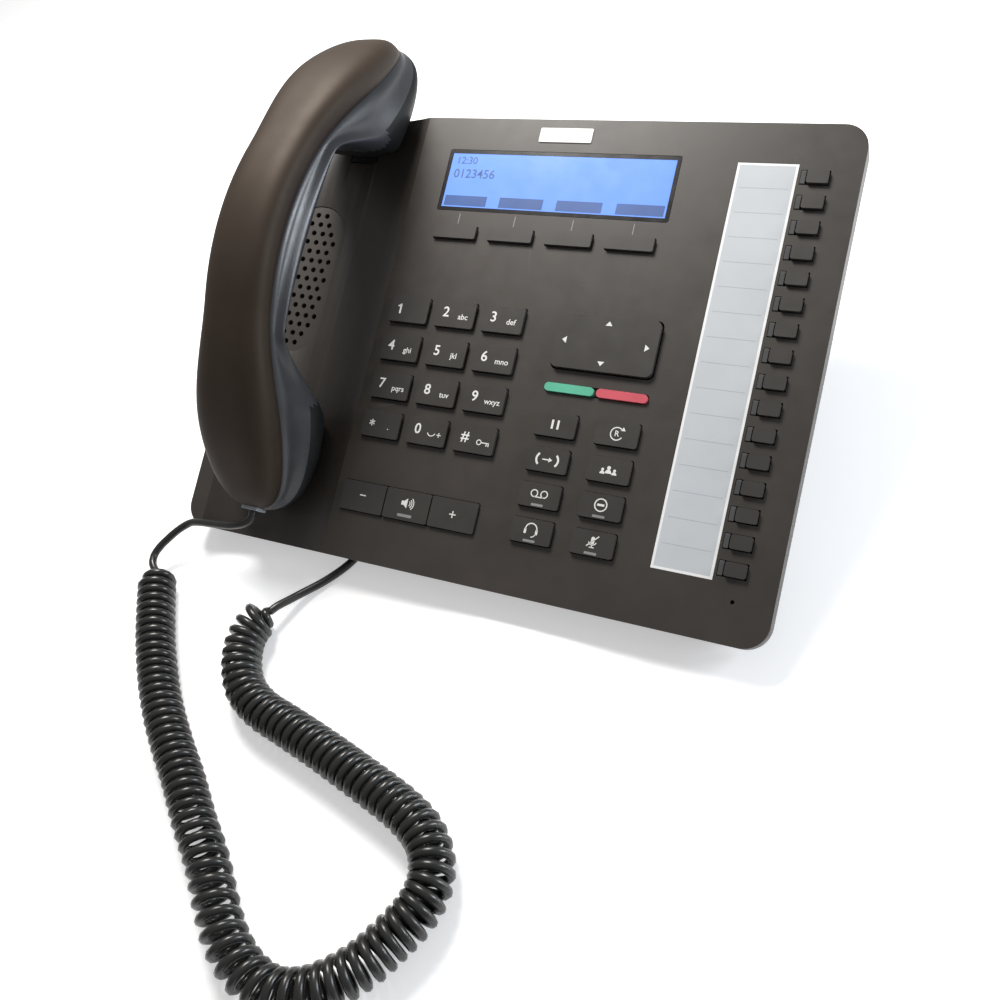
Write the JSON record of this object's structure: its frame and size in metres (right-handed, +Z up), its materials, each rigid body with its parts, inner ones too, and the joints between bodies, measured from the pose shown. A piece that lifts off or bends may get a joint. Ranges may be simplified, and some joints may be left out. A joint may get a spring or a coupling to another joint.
{
  "type": "desk telephone",
  "caption": "Sloping desk telephone with a corded handset in a side cradle, display, number keys, line keys with a label strip, and a folding rear stand.",
  "frame": {"origin": "middle of the footprint of the phone without its cord, on the desk", "axes": "+X to the user's right, +Y away from the user, +Z up"},
  "size_m": [0.2499, 0.338, 0.125],
  "materials": {
    "cover_dark": "fine satin texture",
    "rear_dark": "fine satin texture",
    "handset_dark": "satin",
    "handset_band": "satin, slightly lighter",
    "key_dark": "satin",
    "answer_green": "moulded inlay",
    "hang_up_red": "moulded inlay",
    "board_green": "circuit board",
    "mat_grey": "silicone",
    "speaker_grey": "dark",
    "lcd_blue": "backlit panel",
    "window_clear": "clear window",
    "card_grey": "plain card",
    "label_clear": "clear strip",
    "lamp_grey": "unlit lamp",
    "socket_black": "moulded",
    "screw_steel": "plain",
    "foot_rubber": "soft",
    "plug_clear": "clear moulding",
    "cord_black": "soft satin",
    "pin_steel": "plain",
    "print_white": "printed ink",
    "plate_silver": "bare plate"
  },
  "bodies": {
    "console": {"front_cover": "cover_dark", "rear_cover": "rear_dark", "main_board": "board_green", "keypad_mat": "mat_grey", "loudspeaker": "speaker_grey", "speaker_grille": "cover_dark", "display_module": "lcd_blue", "display_window": "window_clear", "label_card": "card_grey", "label_cover": "label_clear", "line_lamps": "lamp_grey", "rear_sockets": "socket_black", "cord_sockets": "socket_black", "case_screws": "screw_steel", "rubber_feet": "foot_rubber", "base_plug": "plug_clear", "base_lead": "cord_black", "cord_coil": "cord_black", "handset_lead": "cord_black"},
    "handset": {"handset_outer_shell": "handset_dark", "handset_inner_shell": "handset_band", "handset_receiver": "speaker_grey", "handset_microphone": "speaker_grey", "handset_plug": "plug_clear"},
    "hook": {"hook_switch": "socket_black"},
    "stand": {"desk_stand": "rear_dark"},
    "nav_rocker": {"nav_pivot": "pin_steel"},
    "nav_button": {"nav_pad": "key_dark"},
    "answer_key_body": {"answer_key": "answer_green"},
    "hang_up_key_body": {"hang_up_key": "hang_up_red"},
    "volume_down_key_body": {"volume_down_key": "key_dark"},
    "speaker_key_body": {"speaker_key": "key_dark"},
    "volume_up_key_body": {"volume_up_key": "key_dark"},
    "dial_key_1_body": {"dial_key_1": "key_dark"},
    "dial_key_2_body": {"dial_key_2": "key_dark"},
    "dial_key_3_body": {"dial_key_3": "key_dark"},
    "dial_key_4_body": {"dial_key_4": "key_dark"},
    "dial_key_5_body": {"dial_key_5": "key_dark"},
    "dial_key_6_body": {"dial_key_6": "key_dark"},
    "dial_key_7_body": {"dial_key_7": "key_dark"},
    "dial_key_8_body": {"dial_key_8": "key_dark"},
    "dial_key_9_body": {"dial_key_9": "key_dark"},
    "dial_key_star_body": {"dial_key_star": "key_dark"},
    "dial_key_0_body": {"dial_key_0": "key_dark"},
    "dial_key_hash_body": {"dial_key_hash": "key_dark"},
    "soft_key_1_body": {"soft_key_1": "key_dark"},
    "soft_key_2_body": {"soft_key_2": "key_dark"},
    "soft_key_3_body": {"soft_key_3": "key_dark"},
    "soft_key_4_body": {"soft_key_4": "key_dark"},
    "hold_key_body": {"hold_key": "key_dark"},
    "redial_key_body": {"redial_key": "key_dark"},
    "transfer_key_body": {"transfer_key": "key_dark"},
    "conference_key_body": {"conference_key": "key_dark"},
    "voicemail_key_body": {"voicemail_key": "key_dark"},
    "do_not_disturb_key_body": {"do_not_disturb_key": "key_dark"},
    "headset_key_body": {"headset_key": "key_dark"},
    "mute_key_body": {"mute_key": "key_dark"},
    "line_keys_a_body": {"line_keys_a": "key_dark"},
    "line_keys_b_body": {"line_keys_b": "key_dark"},
    "line_keys_c_body": {"line_keys_c": "key_dark"}
  },
  "joints": [
    {"name": "handset_lift", "type": "slide", "parent": "console", "child": "handset", "axis": [0, -0.4226, 0.9063], "range_m": [0, 0.06]},
    {"name": "hook_travel", "type": "slide", "parent": "console", "child": "hook", "axis": [0, -0.4226, 0.9063], "range_m": [0, 0.003]},
    {"name": "stand_fold", "type": "hinge", "parent": "console", "child": "stand", "pos_m": [0, 0.04803, 0.03791], "axis": [1, 0, 0], "range_deg": [-90, 0]},
    {"name": "nav_up_down", "type": "hinge", "parent": "console", "child": "nav_rocker", "pos_m": [0.0442, -0.00514, 0.04831], "axis": [1, 0, 0], "range_deg": [-3, 3], "stiffness_Nm_per_rad": 0.3},
    {"name": "nav_left_right", "type": "hinge", "parent": "nav_rocker", "child": "nav_button", "pos_m": [0.0442, -0.00514, 0.04831], "axis": [0, 0.9063, 0.4226], "range_deg": [-3, 3], "stiffness_Nm_per_rad": 0.3},
    {"name": "answer_key_press", "type": "slide", "parent": "console", "child": "answer_key_body", "axis": [0, 0.4226, -0.9063], "range_m": [0, 0.0008], "stiffness_N_per_m": 400, "springref_m": -0.0015},
    {"name": "hang_up_key_press", "type": "slide", "parent": "console", "child": "hang_up_key_body", "axis": [0, 0.4226, -0.9063], "range_m": [0, 0.0008], "stiffness_N_per_m": 400, "springref_m": -0.0015},
    {"name": "volume_down_key_press", "type": "slide", "parent": "console", "child": "volume_down_key_body", "axis": [0, 0.4226, -0.9063], "range_m": [0, 0.0008], "stiffness_N_per_m": 400, "springref_m": -0.0015},
    {"name": "speaker_key_press", "type": "slide", "parent": "console", "child": "speaker_key_body", "axis": [0, 0.4226, -0.9063], "range_m": [0, 0.0008], "stiffness_N_per_m": 400, "springref_m": -0.0015},
    {"name": "volume_up_key_press", "type": "slide", "parent": "console", "child": "volume_up_key_body", "axis": [0, 0.4226, -0.9063], "range_m": [0, 0.0008], "stiffness_N_per_m": 400, "springref_m": -0.0015},
    {"name": "dial_key_1_press", "type": "slide", "parent": "console", "child": "dial_key_1_body", "axis": [0, 0.4226, -0.9063], "range_m": [0, 0.0008], "stiffness_N_per_m": 400, "springref_m": -0.0015},
    {"name": "dial_key_2_press", "type": "slide", "parent": "console", "child": "dial_key_2_body", "axis": [0, 0.4226, -0.9063], "range_m": [0, 0.0008], "stiffness_N_per_m": 400, "springref_m": -0.0015},
    {"name": "dial_key_3_press", "type": "slide", "parent": "console", "child": "dial_key_3_body", "axis": [0, 0.4226, -0.9063], "range_m": [0, 0.0008], "stiffness_N_per_m": 400, "springref_m": -0.0015},
    {"name": "dial_key_4_press", "type": "slide", "parent": "console", "child": "dial_key_4_body", "axis": [0, 0.4226, -0.9063], "range_m": [0, 0.0008], "stiffness_N_per_m": 400, "springref_m": -0.0015},
    {"name": "dial_key_5_press", "type": "slide", "parent": "console", "child": "dial_key_5_body", "axis": [0, 0.4226, -0.9063], "range_m": [0, 0.0008], "stiffness_N_per_m": 400, "springref_m": -0.0015},
    {"name": "dial_key_6_press", "type": "slide", "parent": "console", "child": "dial_key_6_body", "axis": [0, 0.4226, -0.9063], "range_m": [0, 0.0008], "stiffness_N_per_m": 400, "springref_m": -0.0015},
    {"name": "dial_key_7_press", "type": "slide", "parent": "console", "child": "dial_key_7_body", "axis": [0, 0.4226, -0.9063], "range_m": [0, 0.0008], "stiffness_N_per_m": 400, "springref_m": -0.0015},
    {"name": "dial_key_8_press", "type": "slide", "parent": "console", "child": "dial_key_8_body", "axis": [0, 0.4226, -0.9063], "range_m": [0, 0.0008], "stiffness_N_per_m": 400, "springref_m": -0.0015},
    {"name": "dial_key_9_press", "type": "slide", "parent": "console", "child": "dial_key_9_body", "axis": [0, 0.4226, -0.9063], "range_m": [0, 0.0008], "stiffness_N_per_m": 400, "springref_m": -0.0015},
    {"name": "dial_key_star_press", "type": "slide", "parent": "console", "child": "dial_key_star_body", "axis": [0, 0.4226, -0.9063], "range_m": [0, 0.0008], "stiffness_N_per_m": 400, "springref_m": -0.0015},
    {"name": "dial_key_0_press", "type": "slide", "parent": "console", "child": "dial_key_0_body", "axis": [0, 0.4226, -0.9063], "range_m": [0, 0.0008], "stiffness_N_per_m": 400, "springref_m": -0.0015},
    {"name": "dial_key_hash_press", "type": "slide", "parent": "console", "child": "dial_key_hash_body", "axis": [0, 0.4226, -0.9063], "range_m": [0, 0.0008], "stiffness_N_per_m": 400, "springref_m": -0.0015},
    {"name": "soft_key_1_press", "type": "slide", "parent": "console", "child": "soft_key_1_body", "axis": [0, 0.4226, -0.9063], "range_m": [0, 0.0008], "stiffness_N_per_m": 400, "springref_m": -0.0015},
    {"name": "soft_key_2_press", "type": "slide", "parent": "console", "child": "soft_key_2_body", "axis": [0, 0.4226, -0.9063], "range_m": [0, 0.0008], "stiffness_N_per_m": 400, "springref_m": -0.0015},
    {"name": "soft_key_3_press", "type": "slide", "parent": "console", "child": "soft_key_3_body", "axis": [0, 0.4226, -0.9063], "range_m": [0, 0.0008], "stiffness_N_per_m": 400, "springref_m": -0.0015},
    {"name": "soft_key_4_press", "type": "slide", "parent": "console", "child": "soft_key_4_body", "axis": [0, 0.4226, -0.9063], "range_m": [0, 0.0008], "stiffness_N_per_m": 400, "springref_m": -0.0015},
    {"name": "hold_key_press", "type": "slide", "parent": "console", "child": "hold_key_body", "axis": [0, 0.4226, -0.9063], "range_m": [0, 0.0008], "stiffness_N_per_m": 400, "springref_m": -0.0015},
    {"name": "redial_key_press", "type": "slide", "parent": "console", "child": "redial_key_body", "axis": [0, 0.4226, -0.9063], "range_m": [0, 0.0008], "stiffness_N_per_m": 400, "springref_m": -0.0015},
    {"name": "transfer_key_press", "type": "slide", "parent": "console", "child": "transfer_key_body", "axis": [0, 0.4226, -0.9063], "range_m": [0, 0.0008], "stiffness_N_per_m": 400, "springref_m": -0.0015},
    {"name": "conference_key_press", "type": "slide", "parent": "console", "child": "conference_key_body", "axis": [0, 0.4226, -0.9063], "range_m": [0, 0.0008], "stiffness_N_per_m": 400, "springref_m": -0.0015},
    {"name": "voicemail_key_press", "type": "slide", "parent": "console", "child": "voicemail_key_body", "axis": [0, 0.4226, -0.9063], "range_m": [0, 0.0008], "stiffness_N_per_m": 400, "springref_m": -0.0015},
    {"name": "do_not_disturb_key_press", "type": "slide", "parent": "console", "child": "do_not_disturb_key_body", "axis": [0, 0.4226, -0.9063], "range_m": [0, 0.0008], "stiffness_N_per_m": 400, "springref_m": -0.0015},
    {"name": "headset_key_press", "type": "slide", "parent": "console", "child": "headset_key_body", "axis": [0, 0.4226, -0.9063], "range_m": [0, 0.0008], "stiffness_N_per_m": 400, "springref_m": -0.0015},
    {"name": "mute_key_press", "type": "slide", "parent": "console", "child": "mute_key_body", "axis": [0, 0.4226, -0.9063], "range_m": [0, 0.0008], "stiffness_N_per_m": 400, "springref_m": -0.0015},
    {"name": "line_keys_a_press", "type": "slide", "parent": "console", "child": "line_keys_a_body", "axis": [0, 0.4226, -0.9063], "range_m": [0, 0.0008], "stiffness_N_per_m": 400, "springref_m": -0.0015},
    {"name": "line_keys_b_press", "type": "slide", "parent": "console", "child": "line_keys_b_body", "axis": [0, 0.4226, -0.9063], "range_m": [0, 0.0008], "stiffness_N_per_m": 400, "springref_m": -0.0015},
    {"name": "line_keys_c_press", "type": "slide", "parent": "console", "child": "line_keys_c_body", "axis": [0, 0.4226, -0.9063], "range_m": [0, 0.0008], "stiffness_N_per_m": 400, "springref_m": -0.0015}
  ],
  "couplings": [
    {"joint": "hook_travel", "follows": "handset_lift", "ratio": 0.05}
  ]
}
